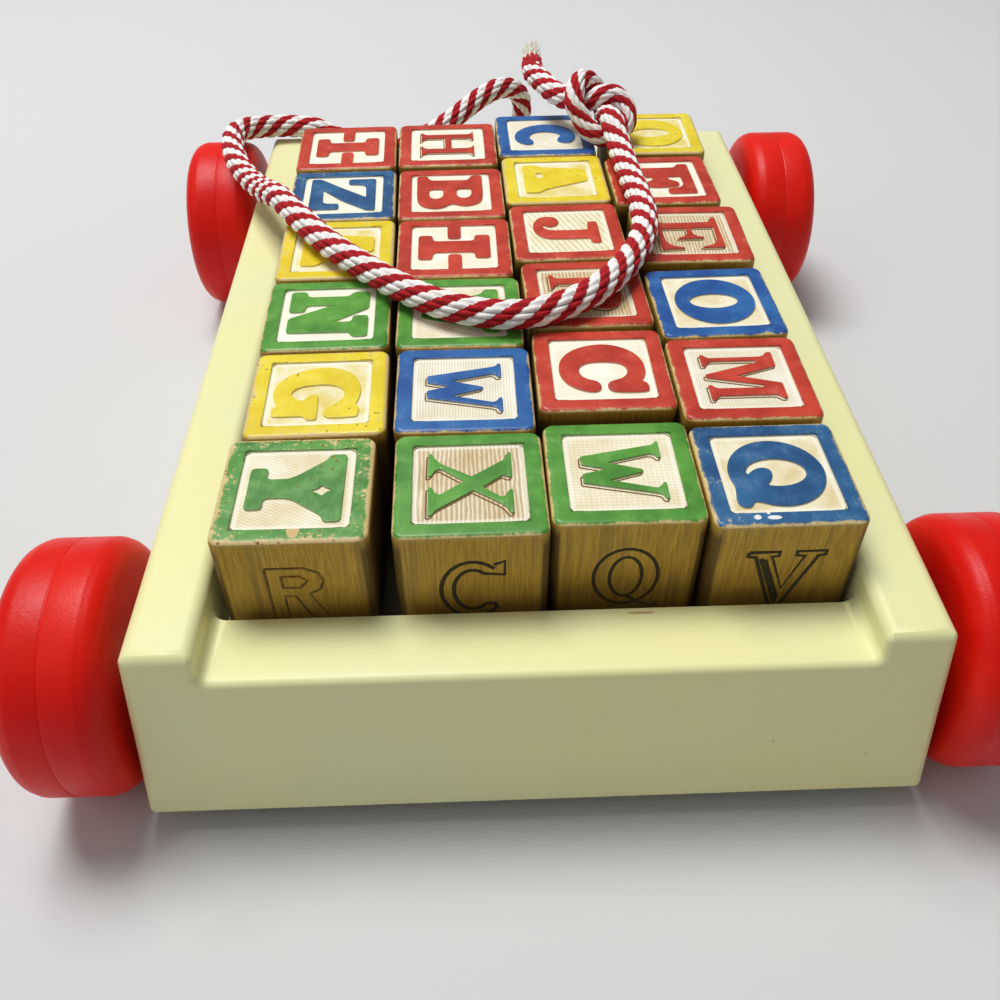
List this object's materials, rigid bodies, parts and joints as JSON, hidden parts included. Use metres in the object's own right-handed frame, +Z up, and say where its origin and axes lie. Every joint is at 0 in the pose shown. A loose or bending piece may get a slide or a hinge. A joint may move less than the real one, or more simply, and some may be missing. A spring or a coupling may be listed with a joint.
{
  "type": "block pull wagon",
  "caption": "Moulded tray on four round wheels, carrying rows of painted wooden alphabet blocks, with a braided rope to pull it by",
  "frame": {"origin": "on the ground under the middle of the tray, wheels standing on z = 0", "axes": "+Y along the tray towards the rope end, +X to the right seen from the near end, +Z up"},
  "size_m": [0.2236, 0.2812, 0.0843],
  "materials": {
    "cream_plastic": "glossy cream moulded plastic, lightly scuffed and yellowed",
    "red_plastic": "waxy red blow-moulded plastic with a fine parting line",
    "axle_steel": "drawn steel rod",
    "cap_steel": "plated push-on caps",
    "green_painted_wood": "worn green paint on raised frame and letter, bare basswood ground",
    "red_painted_wood": "worn red paint on raised frame and letter, bare basswood ground",
    "blue_painted_wood": "worn blue paint on raised frame and letter, bare basswood ground",
    "yellow_painted_wood": "worn yellow paint on raised frame and letter, bare basswood ground",
    "braided_cord": "solid-braided cotton cord, red with slanting white stripes",
    "frayed_cord": "frayed white cord end"
  },
  "bodies": {
    "root": {"tray": "cream_plastic", "front_axle": "axle_steel", "rear_axle": "axle_steel", "front_left_cap": "cap_steel", "front_right_cap": "cap_steel", "rear_left_cap": "cap_steel", "rear_right_cap": "cap_steel", "block_row2_col3": "red_painted_wood", "block_row3_col1": "green_painted_wood", "block_row3_col2": "green_painted_wood", "block_row3_col3": "red_painted_wood", "block_row3_col4": "blue_painted_wood", "block_row4_col1": "yellow_painted_wood", "block_row4_col3": "red_painted_wood", "block_row4_col4": "red_painted_wood", "block_row5_col1": "blue_painted_wood", "block_row5_col4": "red_painted_wood", "block_row6_col3": "blue_painted_wood", "block_row6_col4": "yellow_painted_wood", "pull_rope": "braided_cord", "rope_knot": "braided_cord", "rope_tail": "braided_cord", "rope_fray": "frayed_cord", "stopper_knot": "braided_cord"},
    "front_left_wheel": {"front_left_wheel": "red_plastic"},
    "front_right_wheel": {"front_right_wheel": "red_plastic"},
    "rear_left_wheel": {"rear_left_wheel": "red_plastic"},
    "rear_right_wheel": {"rear_right_wheel": "red_plastic"},
    "block_r1c1": {"block_row1_col1": "green_painted_wood"},
    "block_r1c2": {"block_row1_col2": "green_painted_wood"},
    "block_r1c3": {"block_row1_col3": "green_painted_wood"},
    "block_r1c4": {"block_row1_col4": "blue_painted_wood"},
    "block_r2c1": {"block_row2_col1": "yellow_painted_wood"},
    "block_r2c2": {"block_row2_col2": "blue_painted_wood"},
    "block_r2c4": {"block_row2_col4": "red_painted_wood"},
    "block_r4c2": {"block_row4_col2": "red_painted_wood"},
    "block_r5c2": {"block_row5_col2": "red_painted_wood"},
    "block_r6c1": {"block_row6_col1": "red_painted_wood"},
    "block_r6c2": {"block_row6_col2": "red_painted_wood"},
    "block_r5c3": {"block_row5_col3": "yellow_painted_wood"}
  },
  "joints": [
    {"name": "front_left_roll", "type": "hinge", "parent": "root", "child": "front_left_wheel", "pos_m": [-0.09759, -0.09998, 0.0281], "axis": [1, 0, 0], "continuous": true},
    {"name": "front_right_roll", "type": "hinge", "parent": "root", "child": "front_right_wheel", "pos_m": [0.09759, -0.09998, 0.0281], "axis": [1, 0, 0], "continuous": true},
    {"name": "rear_left_roll", "type": "hinge", "parent": "root", "child": "rear_left_wheel", "pos_m": [-0.09759, 0.09998, 0.0281], "axis": [1, 0, 0], "continuous": true},
    {"name": "rear_right_roll", "type": "hinge", "parent": "root", "child": "rear_right_wheel", "pos_m": [0.09759, 0.09998, 0.0281], "axis": [1, 0, 0], "continuous": true},
    {"name": "lift_r1c1", "type": "slide", "parent": "root", "child": "block_r1c1", "axis": [0, 0, 1], "range_m": [0, 0.04]},
    {"name": "lift_r1c2", "type": "slide", "parent": "root", "child": "block_r1c2", "axis": [0, 0, 1], "range_m": [0, 0.04]},
    {"name": "lift_r1c3", "type": "slide", "parent": "root", "child": "block_r1c3", "axis": [0, 0, 1], "range_m": [0, 0.04]},
    {"name": "lift_r1c4", "type": "slide", "parent": "root", "child": "block_r1c4", "axis": [0, 0, 1], "range_m": [0, 0.04]},
    {"name": "lift_r2c1", "type": "slide", "parent": "root", "child": "block_r2c1", "axis": [0, 0, 1], "range_m": [0, 0.04]},
    {"name": "lift_r2c2", "type": "slide", "parent": "root", "child": "block_r2c2", "axis": [0, 0, 1], "range_m": [0, 0.04]},
    {"name": "lift_r2c4", "type": "slide", "parent": "root", "child": "block_r2c4", "axis": [0, 0, 1], "range_m": [0, 0.04]},
    {"name": "lift_r4c2", "type": "slide", "parent": "root", "child": "block_r4c2", "axis": [0, 0, 1], "range_m": [0, 0.04]},
    {"name": "lift_r5c2", "type": "slide", "parent": "root", "child": "block_r5c2", "axis": [0, 0, 1], "range_m": [0, 0.04]},
    {"name": "lift_r6c1", "type": "slide", "parent": "root", "child": "block_r6c1", "axis": [0, 0, 1], "range_m": [0, 0.04]},
    {"name": "lift_r6c2", "type": "slide", "parent": "root", "child": "block_r6c2", "axis": [0, 0, 1], "range_m": [0, 0.04]},
    {"name": "lift_r5c3", "type": "slide", "parent": "root", "child": "block_r5c3", "axis": [0, 0, 1], "range_m": [0, 0.04]}
  ]
}
